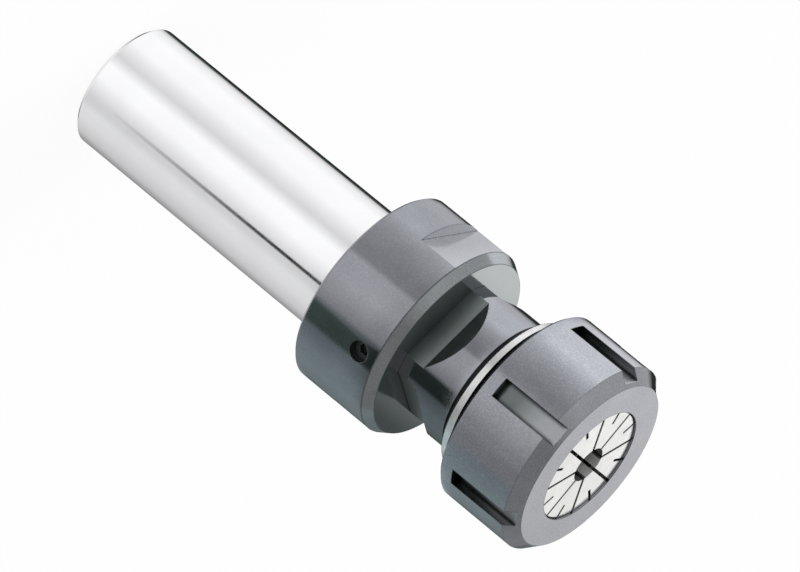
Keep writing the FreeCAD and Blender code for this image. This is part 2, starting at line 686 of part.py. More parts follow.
mill(nut, "SpannerSlot", [
    (f"{half('nut_diameter')} - Sizes.slot_depth", "Places.nut_rear + Sizes.slot_start"),
    ("Places.nut_diameter", "Places.nut_rear + Sizes.slot_start"),
    ("Places.nut_diameter", "Places.nut_face + Sizes.slot_depth"),
    (f"{half('nut_diameter')} - Sizes.slot_depth", "Places.nut_face + Sizes.slot_depth"),
], "Sizes.slot_width", "Sizes.slot_count", turn="Sizes.slot_angle")

# Extractor ring, whose offset bore reaches into the collet's groove on one side
ring_bore = cylinder("RingBore", half("ring_bore"), "2 * Places.nut_face")
ring_bore.setExpression(".Placement.Base.x", "Sizes.ring_offset")
combine("Cut", "extractor_ring",
        cylinder("RingBar", f"{half('ring_diameter')} - Sizes.seated_clearance",
                 "(Places.ring_front - Places.ring_rear)", "Places.ring_rear"), ring_bore)

doc.recompute()

NODES = [
    "shank_body", "rear_plug", "guide_cap", "cap_seal", "cap_screws", "spring_seat", "seat_clip",
    "spindle", "stem_seal", "tail_rod", "rod_pin", "spring_cup", "tail_nut", "thrust_washer",
    "compression_spring", "tension_spring", "tap_stop_screw", "collet", "collet_nut",
    "extractor_ring",
]

for item in doc.Objects:
    if "Invalid" in item.State or "Error" in item.State:
        raise RuntimeError(f"{item.Label} is in state {item.State}")

os.makedirs("parts", exist_ok=True)
for label in NODES:
    node = doc.getObjectsByLabel(label)[0]
    if node.Shape.isNull() or not node.Shape.isValid():
        raise RuntimeError(f"{label} has no valid shape")
    node.Shape.exportStep(f"parts/{label}.step")
    print(label, len(node.Shape.Solids), round(node.Shape.Volume, 1))
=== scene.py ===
import math

import bpy
import numpy as np
from mathutils import Matrix, Vector


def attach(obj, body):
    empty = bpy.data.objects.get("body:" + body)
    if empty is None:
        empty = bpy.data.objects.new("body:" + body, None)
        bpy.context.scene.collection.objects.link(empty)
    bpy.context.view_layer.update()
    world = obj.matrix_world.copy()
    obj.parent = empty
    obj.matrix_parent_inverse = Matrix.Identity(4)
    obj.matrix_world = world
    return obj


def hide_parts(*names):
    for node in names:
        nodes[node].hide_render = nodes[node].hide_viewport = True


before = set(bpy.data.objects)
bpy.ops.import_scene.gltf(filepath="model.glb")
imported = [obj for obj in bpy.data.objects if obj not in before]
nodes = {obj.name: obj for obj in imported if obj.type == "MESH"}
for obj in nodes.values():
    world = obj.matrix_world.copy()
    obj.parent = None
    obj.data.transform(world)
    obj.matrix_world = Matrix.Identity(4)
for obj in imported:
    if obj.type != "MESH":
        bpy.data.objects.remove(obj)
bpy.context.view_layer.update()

# Shank and collar. One bar of steel, turned and blackened all over, then ground bright on the
# straight shank that the machine's holder grips. The collar keeps its black oxide.
MM = 0.001


def noise_node(tree, source, scale, detail, dimensions="3D"):
    """A noise texture fed from a coordinate, or from one number where it is one-dimensional."""
    noise = tree.nodes.new("ShaderNodeTexNoise")
    noise.noise_dimensions = dimensions
    noise.inputs["Scale"].default_value = scale
    noise.inputs["Detail"].default_value = detail
    tree.links.new(source, noise.inputs["W" if dimensions == "1D" else "Vector"])
    return noise.outputs["Fac"]


def spread(tree, source, low, high, start=0.3, end=0.7):
    """Maps the middle of a noise's range onto the values from low to high."""
    remap = tree.nodes.new("ShaderNodeMapRange")
    remap.inputs["From Min"].default_value = start
    remap.inputs["From Max"].default_value = end
    remap.inputs["To Min"].default_value = low
    remap.inputs["To Max"].default_value = high
    tree.links.new(source, remap.inputs["Value"])
    return remap.outputs["Result"]


def blend_colours(tree, factor, first, second):
    """Mixes two colours, each a fixed one or another node's output, by a factor."""
    mix = tree.nodes.new("ShaderNodeMix")
    mix.data_type = "RGBA"
    tree.links.new(factor, mix.inputs["Factor"])
    for name, colour in (("A", first), ("B", second)):
        socket = [item for item in mix.inputs if item.name == name and item.type == "RGBA"][0]
        if isinstance(colour, tuple):
            socket.default_value = (*colour, 1)
        else:
            tree.links.new(colour, socket)
    return [item for item in mix.outputs if item.type == "RGBA"][0]


def metal_finish(name, dark, light, smooth, rough, ring_depth, grain_depth, edges=None, speck=0.0,
                 painted_corner_shade=None, change=None):
    """A metal with mottled colour, turning rings, a fine grain and softly broken edges.

    Rings follow the height plus the distance from the axis, so that they run round both the
    walls and the faces of a turned piece. Edges are found by comparing a widely rounded normal
    with the true one, and may have a colour of their own. Specks are small spots of a paler
    tone. The corner tone is painted shade: a dark tone laid by ambient occlusion into the piece's
    own inner corners, where shade falls. Change is a colour that takes over between two heights,
    given as those heights and the colour.
    """
    material = bpy.data.materials.new(name)
    material.use_nodes = True
    tree = material.node_tree
    shader = tree.nodes["Principled BSDF"]
    shader.inputs["Metallic"].default_value = 1.0
    place = tree.nodes.new("ShaderNodeTexCoord").outputs["Object"]
    split = tree.nodes.new("ShaderNodeSeparateXYZ")
    tree.links.new(place, split.inputs[0])
    flat = tree.nodes.new("ShaderNodeCombineXYZ")
    tree.links.new(split.outputs["X"], flat.inputs["X"])
    tree.links.new(split.outputs["Y"], flat.inputs["Y"])
    reach = tree.nodes.new("ShaderNodeVectorMath")
    reach.operation = "LENGTH"
    tree.links.new(flat.outputs[0], reach.inputs[0])
    along = tree.nodes.new("ShaderNodeMath")
    along.operation = "ADD"
    tree.links.new(split.outputs["Z"], along.inputs[0])
    tree.links.new(reach.outputs["Value"], along.inputs[1])
    mottle = noise_node(tree, place, 110.0, 4.0)
    colour = blend_colours(tree, spread(tree, mottle, 0.0, 1.0), dark, light)
    if speck:
        spots = noise_node(tree, place, 2600.0, 2.0)
        pale = tuple(min(1.0, 1.5 * part) for part in light)
        colour = blend_colours(tree, spread(tree, spots, 0.0, speck, 0.45, 0.75), colour, pale)
    if change:
        share = spread(tree, split.outputs["Z"], 0.0, 1.0, change[0], change[1])
        colour = blend_colours(tree, share, colour, change[2])
    rounded = tree.nodes.new("ShaderNodeBevel")
    rounded.samples = 4
    rounded.inputs["Radius"].default_value = 0.22 * MM
    if edges:
        true_normal = tree.nodes.new("ShaderNodeNewGeometry").outputs["Normal"]
        broad = tree.nodes.new("ShaderNodeBevel")
        broad.samples = 6
        broad.inputs["Radius"].default_value = 0.5 * MM
        compare = tree.nodes.new("ShaderNodeVectorMath")
        compare.operation = "DOT_PRODUCT"
        tree.links.new(broad.outputs["Normal"], compare.inputs[0])
        tree.links.new(true_normal, compare.inputs[1])
        edge = spread(tree, compare.outputs["Value"], 0.9, 0.0, 0.84, 0.98)
        colour = blend_colours(tree, edge, colour, edges)
    # painted shade: ambient occlusion darkens the colour in the piece's inner corners
    if painted_corner_shade:
        corner = tree.nodes.new("ShaderNodeAmbientOcclusion")
        corner.samples = 8
        corner.only_local = True
        corner.inputs["Distance"].default_value = 1.3 * MM
        clear = spread(tree, corner.outputs["AO"], 0.0, 1.0, 0.52, 0.92)
        colour = blend_colours(tree, clear, painted_corner_shade, colour)
    tree.links.new(colour, shader.inputs["Base Color"])
    smear = noise_node(tree, place, 420.0, 5.0)
    tree.links.new(spread(tree, smear, smooth, rough), shader.inputs["Roughness"])
    rings = noise_node(tree, along.outputs["Value"], 6500.0, 2.0, "1D")
    grain = noise_node(tree, place, 4200.0, 3.0)
    normal = rounded.outputs["Normal"]
    for height, depth in ((rings, ring_depth), (grain, grain_depth)):
        bump = tree.nodes.new("ShaderNodeBump")
        bump.inputs["Distance"].default_value = depth
        tree.links.new(height, bump.inputs["Height"])
        tree.links.new(normal, bump.inputs["Normal"])
        normal = bump.outputs["Normal"]
    tree.links.new(normal, shader.inputs["Normal"])
    return material


# each finish given a corner tone gets painted shade in its inner corners
ground_steel = metal_finish("ground_steel", (0.93, 0.93, 0.93), (0.96, 0.96, 0.955),
                            0.08, 0.12, 0.0006 * MM, 0.0006 * MM, painted_corner_shade=(0.10, 0.10, 0.10))
OXIDE_DARK = (0.276, 0.286, 0.308)
OXIDE_LIGHT = (0.316, 0.326, 0.348)
OXIDE_EDGE = (0.07, 0.075, 0.08)
# painted shade for the inner corners of the blackened pieces
OXIDE_CORNER_SHADE = (0.03, 0.034, 0.034)
black_oxide = metal_finish("black_oxide", OXIDE_DARK, OXIDE_LIGHT, 0.06, 0.10, 0.0008 * MM, 0.0017 * MM,
                           edges=OXIDE_EDGE, speck=0.32, painted_corner_shade=OXIDE_CORNER_SHADE)
# the shank's wrench flat: painted paler than the collar, and painted lighter still from 94 to 101 mm towards
# its front, as painted light
flat_painted_light = metal_finish("flat_painted_light", (0.36, 0.37, 0.395), (0.41, 0.42, 0.445), 0.12, 0.20,
                           0.0004 * MM, 0.0022 * MM, edges=OXIDE_EDGE, speck=0.3,
                           change=(94.0 * MM, 101.0 * MM, (0.50, 0.51, 0.54)))
# painted light: the step at the wrench flat's rear end is painted much paler than the oxide
step_painted_light = metal_finish("step_painted_light", (0.74, 0.75, 0.78), (0.82, 0.83, 0.86), 0.12, 0.20,
                           0.0004 * MM, 0.0022 * MM, edges=OXIDE_EDGE)
# painted shade: the pin spanner hole in the collar is painted near black, the shade deep inside it
hole_painted_shade = metal_finish("hole_painted_shade", (0.130, 0.146, 0.143), (0.195, 0.212, 0.209),
                            0.26, 0.38, 0.0010 * MM, 0.0040 * MM, painted_corner_shade=(0.02, 0.022, 0.022))


def paint(piece, materials):
    """Gives a piece its materials in order, the first one on every face."""
    piece.data.materials.clear()
    for material in materials:
        piece.data.materials.append(material)
    piece.data.polygons.foreach_set("material_index", np.zeros(len(piece.data.polygons), np.int32))


def face_places(piece):
    """For each face: its distance from the axis, height, turn from +X in degrees and tilt."""
    middles = np.zeros(len(piece.data.polygons) * 3, np.float32)
    piece.data.polygons.foreach_get("center", middles)
    middles = middles.reshape(-1, 3)
    normals = np.zeros(len(piece.data.polygons) * 3, np.float32)
    piece.data.polygons.foreach_get("normal", normals)
    turn = np.degrees(np.arctan2(middles[:, 1], middles[:, 0])) % 360.0
    return np.hypot(middles[:, 0], middles[:, 1]), middles[:, 2], turn, normals.reshape(-1, 3)[:, 2]


def repaint(piece, *choices):
    """Moves each choice of faces to the next material of the piece, from the second one on."""
    index = np.zeros(len(piece.data.polygons), np.int32)
    for number, chosen in enumerate(choices, start=1):
        index[chosen] = number
    piece.data.polygons.foreach_set("material_index", index)


TOUCH = 0.01 * MM
SHANK_LENGTH = 80.0 * MM
SHANK_INNER_EDGE = 14.9 * MM
REAR_BORE_EDGE = 12.88 * MM
REAR_FACE_DEPTH = 0.5 * MM
FLAT_TURN = 204.4
FLAT_REACH = 22.0 * MM
FLAT_START = 90.5 * MM
SCREW_TURN = 301.0
SCREW_HEIGHT = 96.5 * MM
HOLE_HALF_TURN = 8.0
HOLE_RADIUS = 2.6 * MM
HOLE_INNER_END = 20.05 * MM
HOLE_OUTER_END = 24.9 * MM
shank = nodes["shank_body"]
paint(shank, [black_oxide, ground_steel, hole_painted_shade, flat_painted_light, step_painted_light])
reach, height, turn, _ = face_places(shank)
from_axis = np.abs(np.cos(np.radians(turn - FLAT_TURN))) * reach
on_wrench_flat = (height > FLAT_START) & (np.abs(from_axis - FLAT_REACH) < TOUCH)
on_flat_step = (np.abs(height - FLAT_START) < TOUCH) & (from_axis > FLAT_REACH)
on_shank = (height < SHANK_LENGTH - TOUCH) & (reach > SHANK_INNER_EDGE)
on_rear_face = (height < REAR_FACE_DEPTH) & (reach > REAR_BORE_EDGE)
by_hole = np.abs((turn - SCREW_TURN + 90.0) % 180.0 - 90.0) < HOLE_HALF_TURN
in_hole = (by_hole & (np.abs(height - SCREW_HEIGHT) < HOLE_RADIUS)
           & (reach > HOLE_INNER_END) & (reach < HOLE_OUTER_END))
repaint(shank, on_shank | on_rear_face, in_hole, on_wrench_flat, on_flat_step)

# Guide cap. A flanged steel bush, hardened and blackened a shade deeper than the collar, in whose
# mouth it sits. Its square opening slides on the spindle's flats and carries the torque.
# painted shade: above 103.6 to 103.75 mm the cap's front face is painted darker
cap_black_face_shade = metal_finish("cap_black_face_shade", (0.250, 0.263, 0.271), (0.285, 0.298, 0.307), 0.09, 0.15,
                         0.0008 * MM, 0.0022 * MM, edges=OXIDE_EDGE, speck=0.45, painted_corner_shade=OXIDE_CORNER_SHADE,
                         change=(103.6 * MM, 103.75 * MM, (0.185, 0.200, 0.202)))
paint(nodes["guide_cap"], [cap_black_face_shade])

# Dog point screws. Two small blackened screws in the collar that hold the guide cap, sunk deep
# under the surface.
# painted shade: the screws are painted near black, the shade deep in their holes
screw_painted_shade = metal_finish("screw_painted_shade", (0.080, 0.090, 0.088), (0.115, 0.127, 0.125),
                           0.45, 0.60, 0.0010 * MM, 0.0020 * MM)
paint(nodes["cap_screws"], [screw_painted_shade])

# Spindle. Turned from one bar and blackened, with four milled flats on its neck. The nose is ground
# bright on the crests of its thread and the plain band behind it, and the taper for the collet too.
THREAD_PITCH = 1.5 * MM
THREAD_RADIUS = 20.0 * MM
THREAD_DEPTH = 0.92 * MM
THREAD_CREST = 0.125 * THREAD_PITCH
THREAD_FLANK = THREAD_DEPTH * math.tan(math.radians(30))
THREAD_STEPS = 96
# at turn zero from +X the grooves lie this far above each whole pitch
THREAD_PHASE = 1.125 * MM
FIRST_GROOVE = 122.875 * MM
THREAD_TURNS = 8.8
WALL_LOW = 121.5 * MM
WALL_HIGH = 136.9 * MM
WALL_SLACK = 0.03 * MM


def mesh_object(name, points, faces):
    """An object of the given corners and faces, linked into the scene."""
    mesh = bpy.data.meshes.new(name)
    mesh.from_pydata(points, [], faces)
    mesh.update()
    piece = bpy.data.objects.new(name, mesh)
    bpy.context.scene.collection.objects.link(piece)
    return piece


def eased(turns, lead_in):
    """Zero at both ends of the thread and one between, along a smooth step of lead_in turns."""
    share = np.clip(np.minimum(turns, turns[-1] - turns) / lead_in, 0.0, 1.0)
    return share * share * (3.0 - 2.0 * share)


def grid_faces(rows, columns, first):
    """The four corners of each cell between rows and columns of points, counted from first."""
    row, column = np.meshgrid(np.arange(rows - 1), np.arange(columns - 1), indexing="ij")
    corner = first + row * columns + column
    return np.stack([corner, corner + columns, corner + columns + 1, corner + 1], axis=2).reshape(-1, 4)


def threaded_wall():
    """The nose's wall with its thread, as corners, faces and the normals of the faces' corners.

    At t turns of the helix a point of the profile lies at (r cos a, r sin a, z), with
    a = 2 pi (z0 - phase) / pitch + 2 pi t, z = z0 + t pitch + offset, r = radius - depth ease(t).
    The offsets run over crest, flank, root and flank up to the next crest. Two plain strips join
    the helix's first and last turn to the circles at the wall's ends.
    """
    t = np.arange(int(THREAD_TURNS * THREAD_STEPS) + 1) / THREAD_STEPS
    root = THREAD_PITCH - THREAD_CREST - 2.0 * THREAD_FLANK
    offsets = np.cumsum([0.0, THREAD_CREST, THREAD_FLANK, root, THREAD_FLANK])
    depths = np.array([0.0, 0.0, THREAD_DEPTH, THREAD_DEPTH, 0.0])
    groove_middle = THREAD_CREST + THREAD_FLANK + root / 2.0
    angle = 2.0 * math.pi * ((FIRST_GROOVE - THREAD_PHASE) / THREAD_PITCH + t)
    outward = np.stack([np.cos(angle), np.sin(angle), np.zeros(len(t))], axis=1)
    radius = THREAD_RADIUS - depths * eased(t, 0.3)[:, None]
    height = FIRST_GROOVE - groove_middle + t[:, None] * THREAD_PITCH + offsets
    wall = radius[:, :, None] * outward[:, None, :]
    wall[:, :, 2] = height
    along = np.gradient(wall, axis=0)
    across = np.diff(wall, axis=1)
    near = np.cross(along[:, :-1], across)
    far = np.cross(along[:, 1:], across)
    normals = np.stack([near[:-1], near[1:], far[1:], far[:-1]], axis=2).reshape(-1, 4, 3)
    points = [wall.reshape(-1, 3)]
    faces = [grid_faces(len(t), 5, 0)]
    count = wall.shape[0] * 5
    for edge, turn, end in ((wall[:THREAD_STEPS + 1, 0], outward[:THREAD_STEPS + 1], WALL_LOW),
                            (wall[-THREAD_STEPS - 1:, 4], outward[-THREAD_STEPS - 1:], WALL_HIGH)):
        circle = THREAD_RADIUS * turn
        circle[:, 2] = end
        low, high = (circle, edge) if end == WALL_LOW else (edge, circle)
        points.append(np.stack([low, high], axis=1).reshape(-1, 3))
        faces.append(grid_faces(len(turn), 2, count))
        count += 2 * len(turn)
        normals = np.concatenate([normals, np.stack([turn[:-1], turn[1:], turn[1:], turn[:-1]], axis=1)])
    normals /= np.linalg.norm(normals, axis=2, keepdims=True)
    return np.concatenate(points), np.concatenate(faces), normals


blank = nodes["spindle"].data
places = np.empty(len(blank.vertices) * 3, np.float32)
blank.vertices.foreach_get("co", places)
places = places.reshape(-1, 3)
triangles = np.empty(len(blank.loops), np.int32)
blank.loops.foreach_get("vertex_index", triangles)
triangles = triangles.reshape(-1, 3)
blank_normals = np.empty(len(blank.loops) * 3, np.float32)
blank.corner_normals.foreach_get("vector", blank_normals)
blank_normals = blank_normals.reshape(-1, 3, 3)
corner_reach = np.hypot(places[:, 0], places[:, 1])[triangles]
corner_height = places[:, 2][triangles]
on_wall = ((corner_reach > THREAD_RADIUS - WALL_SLACK) & (corner_height > WALL_LOW - TOUCH)
           & (corner_height < WALL_HIGH + TOUCH)).all(axis=1)
thread_points, thread_faces, thread_normals = threaded_wall()
spindle = mesh_object("spindle_threaded", places.tolist() + thread_points.tolist(),
                      triangles[~on_wall].tolist() + (thread_faces + len(places)).tolist())
spindle.data.shade_smooth()
spindle.data.normals_split_custom_set(
    np.concatenate([blank_normals[~on_wall].reshape(-1, 3), thread_normals.reshape(-1, 3)]).tolist())
# painted shade: from 119.25 to 119.4 mm up this finish is painted near black, on the neck under the nose's
# shoulder
neck_black_shade_ring = metal_finish("neck_black_shade_ring", OXIDE_DARK, OXIDE_LIGHT, 0.04, 0.07, 0.0008 * MM, 0.0013 * MM,
                          edges=OXIDE_EDGE, speck=0.25, painted_corner_shade=OXIDE_CORNER_SHADE,
                          change=(119.25 * MM, 119.4 * MM, (0.012, 0.014, 0.014)))
# painted shade: the neck's milled flats are painted much darker than the oxide, and painted lighter from
# 104.2 to 108.6 mm towards the nose as painted light
neck_flat_painted_shade = metal_finish("neck_flat_painted_shade", (0.085, 0.100, 0.096), (0.130, 0.148, 0.144),
                         0.32, 0.42, 0.0010 * MM, 0.0040 * MM, painted_corner_shade=(0.02, 0.022, 0.022),
                         change=(104.2 * MM, 108.6 * MM, (0.25, 0.28, 0.272)))
bright_thread = metal_finish("bright_thread", (0.62, 0.62, 0.615), (0.72, 0.72, 0.715),
                             0.14, 0.22, 0.0010 * MM, 0.0010 * MM)
# painted shade: the thread's grooves and the nose's rear chamfer are painted near black
groove_painted_shade = metal_finish("groove_painted_shade", (0.030, 0.034, 0.034), (0.055, 0.060, 0.060),
                             0.26, 0.38, 0.0010 * MM, 0.0020 * MM)
paint(spindle, [neck_black_shade_ring, bright_thread, neck_flat_painted_shade, groove_painted_shade])
STEM_TOP = 88.1 * MM
STEM_INNER = 11.6 * MM
FLAT_FOOT = 88.3 * MM
FLAT_END = 114.5 * MM
FLAT_INNER = 13.9 * MM
FLAT_OUTER = 17.3 * MM
TAPER_FOOT = 105.25 * MM
TAPER_OUTER = 16.9 * MM
SHOULDER = 121.0 * MM
SHOULDER_INNER = 19.4 * MM
CREST_INNER = 19.9 * MM
GROOVE_INNER = 18.9 * MM
FRONT_INNER = 17.6 * MM
reach, height, _, _ = face_places(spindle)
on_nose = (height > WALL_LOW) & (reach > CREST_INNER)
nose_front = (height > WALL_HIGH) & (reach > FRONT_INNER)
in_taper = (height > TAPER_FOOT) & (reach < TAPER_OUTER)
on_stem = (height < STEM_TOP) & (reach > STEM_INNER)
on_flats = (height > FLAT_FOOT) & (height < FLAT_END) & (reach > FLAT_INNER) & (reach < FLAT_OUTER)
in_groove = ((height > WALL_LOW) & (height < WALL_HIGH)
             & (reach > GROOVE_INNER) & (reach < CREST_INNER))
nose_edge = (height > SHOULDER) & (height < WALL_LOW) & (reach > SHOULDER_INNER)
repaint(spindle, on_nose | nose_front | in_taper | on_stem, on_flats, in_groove | nose_edge)
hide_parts("spindle")
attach(spindle, "floating_spindle")

# Collet. Hardened spring steel, ground bright and slit from both ends, with a bore for the tap.
collet_steel = metal_finish("collet_steel", (0.74, 0.74, 0.73), (0.82, 0.82, 0.80),
                            0.18, 0.28, 0.0010 * MM, 0.0012 * MM)
# painted shade inside the collet's bore, with one patch painted bright from 58 to 122 degrees from +X as a
# painted reflection
bore_painted_shade = metal_finish("bore_painted_shade", (0.22, 0.23, 0.23), (0.32, 0.33, 0.33),
                          0.50, 0.65, 0.0020 * MM, 0.0020 * MM)
bore_painted_light = metal_finish("bore_painted_light", (0.88, 0.88, 0.87), (0.96, 0.96, 0.95),
                          0.60, 0.75, 0.0020 * MM, 0.0020 * MM)
BORE_REACH = 4.7 * MM
BORE_TILT = 0.3
BRIGHT_TURN = 90.0
BRIGHT_HALF_TURN = 32.0
collet = nodes["collet"]
paint(collet, [collet_steel, bore_painted_shade, bore_painted_light])
reach, _, turn, tilt = face_places(collet)
in_bore = (reach < BORE_REACH) & (np.abs(tilt) < BORE_TILT)
repaint(collet, in_bore, in_bore & (np.abs(turn - BRIGHT_TURN) < BRIGHT_HALF_TURN))

# Collet nut. Turned and blackened, with six milled slots for a hook spanner and a 1.5 mm thread
# that runs on the spindle's nose.
SLOT_END = 129.4 * MM
SLOT_SLACK = 0.1 * MM
SLOT_INNER = 22.6 * MM
SLOT_OUTER = 24.88 * MM
SLOT_TILT = 0.5
nut = nodes["collet_nut"]
# painted shade: the spanner slots are painted dark, darkest at their closed rear end and lighter from 134.5
# to 142 mm towards the nut's face
slot_painted_shade = metal_finish("slot_painted_shade", (0.120, 0.136, 0.133), (0.175, 0.192, 0.189),
                          0.22, 0.32, 0.0010 * MM, 0.0040 * MM, painted_corner_shade=(0.02, 0.022, 0.022),
                          change=(134.5 * MM, 142.0 * MM, (0.36, 0.37, 0.38)))
nut_black = metal_finish("nut_black", OXIDE_DARK, OXIDE_LIGHT, 0.10, 0.16, 0.0008 * MM, 0.0030 * MM,
                         edges=OXIDE_EDGE, speck=0.5, painted_corner_shade=OXIDE_CORNER_SHADE)
paint(nut, [nut_black, slot_painted_shade])
reach, height, _, tilt = face_places(nut)
in_slot = (reach > SLOT_INNER) & (reach < SLOT_OUTER) & (height > SLOT_END - SLOT_SLACK)
repaint(nut, in_slot & ((np.abs(tilt) < SLOT_TILT) | (height < SLOT_END + SLOT_SLACK)))


def thread_ridge(name, profile, start, end):
    """A closed ridge swept along the same helix as the nose's grooves, about the Z axis.

    A point of the profile is (distance from the axis, offset along Z). At turn t its place is
    (d cos a, d sin a, start + t pitch + offset), with a = 2 pi ((start - phase) / pitch + t). At
    both ends the distance d eases to that of the profile's first point.
    """
    t = np.arange(int((end - start) / THREAD_PITCH * THREAD_STEPS) + 1) / THREAD_STEPS
    ring = np.array(profile)
    distance = ring[0, 0] + (ring[None, :, 0] - ring[0, 0]) * eased(t, 0.35)[:, None]
    angle = 2.0 * math.pi * ((start - THREAD_PHASE) / THREAD_PITCH + t)[:, None]
    points = np.stack([distance * np.cos(angle), distance * np.sin(angle),
                       start + t[:, None] * THREAD_PITCH + ring[None, :, 1]], axis=2)
    count = len(profile)
    row, column = np.meshgrid(np.arange(len(t) - 1), np.arange(count), indexing="ij")
    after = (column + 1) % count
    faces = np.stack([row * count + column, row * count + after, (row + 1) * count + after,
                      (row + 1) * count + column], axis=2).reshape(-1, 4).tolist()
    faces.append(list(range(count))[::-1])
    faces.append([(len(t) - 1) * count + index for index in range(count)])
    return mesh_object(name, points.reshape(-1, 3).tolist(), faces)


RIDGE_CREST = 19.26 * MM
RIDGE_BASE = 20.3 * MM
half_base = 0.4375 * THREAD_PITCH - 0.07 * MM
half_crest = 0.125 * THREAD_PITCH - 0.03 * MM
ridge = thread_ridge("nut_thread", [
    (RIDGE_BASE, half_base), (RIDGE_BASE, -half_base), (RIDGE_CREST, -half_crest), (RIDGE_CREST, half_crest),
], 126.8 * MM, 133.0 * MM)
paint(ridge, [black_oxide])
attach(ridge, "clamping_nut")

# Inner steel pieces: the extractor ring in the nut, the tap stop, the tail rod with its nut, cup,
# pin and washer, and the fixed spring seat. All are turned and left bright under a film of oil.
turned_steel = metal_finish("turned_steel", (0.50, 0.49, 0.47), (0.60, 0.59, 0.57),
                            0.24, 0.36, 0.0030 * MM, 0.0015 * MM)
for name in ("extractor_ring", "tap_stop_screw", "tail_rod", "rod_pin", "spring_cup", "tail_nut",
             "thrust_washer", "spring_seat", "rear_plug"):
    paint(nodes[name], [turned_steel])

# Springs and retaining ring. Oil-tempered spring steel, dark straw grey.
spring_steel = metal_finish("spring_steel", (0.25, 0.24, 0.23), (0.34, 0.33, 0.31),
                            0.30, 0.42, 0.0008 * MM, 0.0030 * MM)
for name in ("compression_spring", "tension_spring", "seat_clip"):
    paint(nodes[name], [spring_steel])

# Seals. Two rings of black nitrile rubber, one on the cap's spigot and one on the stem.
seal_rubber = bpy.data.materials.new("seal_rubber")
seal_rubber.use_nodes = True
rubber_tree = seal_rubber.node_tree
rubber = rubber_tree.nodes["Principled BSDF"]
rubber_place = rubber_tree.nodes.new("ShaderNodeTexCoord").outputs["Object"]
rubber_mottle = noise_node(rubber_tree, rubber_place, 900.0, 3.0)
rubber_colour = blend_colours(rubber_tree, rubber_mottle,
                              (0.018, 0.018, 0.019), (0.034, 0.034, 0.035))
rubber_tree.links.new(rubber_colour, rubber.inputs["Base Color"])
rubber_tree.links.new(spread(rubber_tree, rubber_mottle, 0.5, 0.7), rubber.inputs["Roughness"])
for name in ("cap_seal", "stem_seal"):
    paint(nodes[name], [seal_rubber])

# Studio. A white floor under the chuck and a plain bright room, whose soft light and dark panels
# show in the metal as the long bands of the photograph.
def stage_mesh(name, points, faces, material):
    """A piece of the stage, which is no part of the object."""
    piece = mesh_object(name, points, faces)
    piece.data.materials.append(material)
    return piece


def seen_directly(tree):
    """One for a ray from the camera, or one that metal or glass sends on, and else nothing."""
    path = tree.nodes.new("ShaderNodeLightPath")
    total = path.outputs["Is Camera Ray"]
    for name in ("Is Glossy Ray", "Is Transmission Ray"):
        larger = tree.nodes.new("ShaderNodeMath")
        larger.operation = "MAXIMUM"
        tree.links.new(total, larger.inputs[0])
        tree.links.new(path.outputs[name], larger.inputs[1])
        total = larger.outputs[0]
    return total


floor_paper = bpy.data.materials.new("floor_paper")
floor_paper.use_nodes = True
tree = floor_paper.node_tree
tree.nodes.clear()
paper = tree.nodes.new("ShaderNodeBsdfDiffuse")
paper.inputs["Color"].default_value = (0.94, 0.94, 0.94, 1)
glow = tree.nodes.new("ShaderNodeEmission")
mix = tree.nodes.new("ShaderNodeMixShader")
share = tree.nodes.new("ShaderNodeMath")
share.operation = "MULTIPLY"
share.inputs[1].default_value = 0.9
tree.links.new(seen_directly(tree), share.inputs[0])
tree.links.new(share.outputs[0], mix.inputs["Fac"])
tree.links.new(paper.outputs[0], mix.inputs[1])
tree.links.new(glow.outputs[0], mix.inputs[2])
surface = tree.nodes.new("ShaderNodeOutputMaterial")
tree.links.new(mix.outputs[0], surface.inputs["Surface"])
FLOOR_REACH = 6.0
FLOOR_DROP = 0.1 * MM
floor_corners = [(FLOOR_REACH * x, FLOOR_REACH * y, -FLOOR_DROP)
                 for x, y in ((-1, -1), (1, -1), (1, 1), (-1, 1))]
floor = stage_mesh("floor", floor_corners, [(0, 1, 2, 3)], floor_paper)
floor.visible_glossy = False


def light_board(name):
    """A material that only gives light, with its node tree, its colour and the place's parts."""
    board = bpy.data.materials.new(name)
    board.use_nodes = True
    tree = board.node_tree
    tree.nodes.clear()
    glow = tree.nodes.new("ShaderNodeEmission")
    out = tree.nodes.new("ShaderNodeOutputMaterial")
    tree.links.new(glow.outputs[0], out.inputs["Surface"])
    split = tree.nodes.new("ShaderNodeSeparateXYZ")
    tree.links.new(tree.nodes.new("ShaderNodeTexCoord").outputs["Object"], split.inputs[0])
    return board, tree, glow.inputs["Color"], split


def heading_of(tree, split):
    """The turn of a place or direction from the camera's side towards +X, as 0 to 1 for a circle."""
    minus_y = tree.nodes.new("ShaderNodeMath")
    minus_y.operation = "MULTIPLY"
    minus_y.inputs[1].default_value = -1.0
    tree.links.new(split.outputs["Y"], minus_y.inputs[0])
    heading = tree.nodes.new("ShaderNodeMath")
    heading.operation = "ARCTAN2"
    tree.links.new(split.outputs["X"], heading.inputs[0])
    tree.links.new(minus_y.outputs[0], heading.inputs[1])
    return spread(tree, heading.outputs[0], 0.0, 1.0, -math.pi, math.pi)


def level_ramp(tree, turn, stops, fill_tint):
    """Light levels by heading, given as pairs of degrees and level. Low levels are greenish, and
    the fill light to the right has a tint of its own."""
    ramp = tree.nodes.new("ShaderNodeValToRGB")
    while len(ramp.color_ramp.elements) < len(stops):
        ramp.color_ramp.elements.new(0.5)
    for element, (degrees, level) in zip(ramp.color_ramp.elements, stops):
        element.position = (degrees + 180) / 360
        tint = (1.0, 1.0, 1.02)
        if degrees > 70:
            tint = fill_tint
        if level < 0.2:
            tint = (0.72, 1.0, 0.88)
        element.color = (*[level * part for part in tint], 1)
    tree.links.new(turn, ramp.inputs["Fac"])
    return ramp.outputs["Color"]


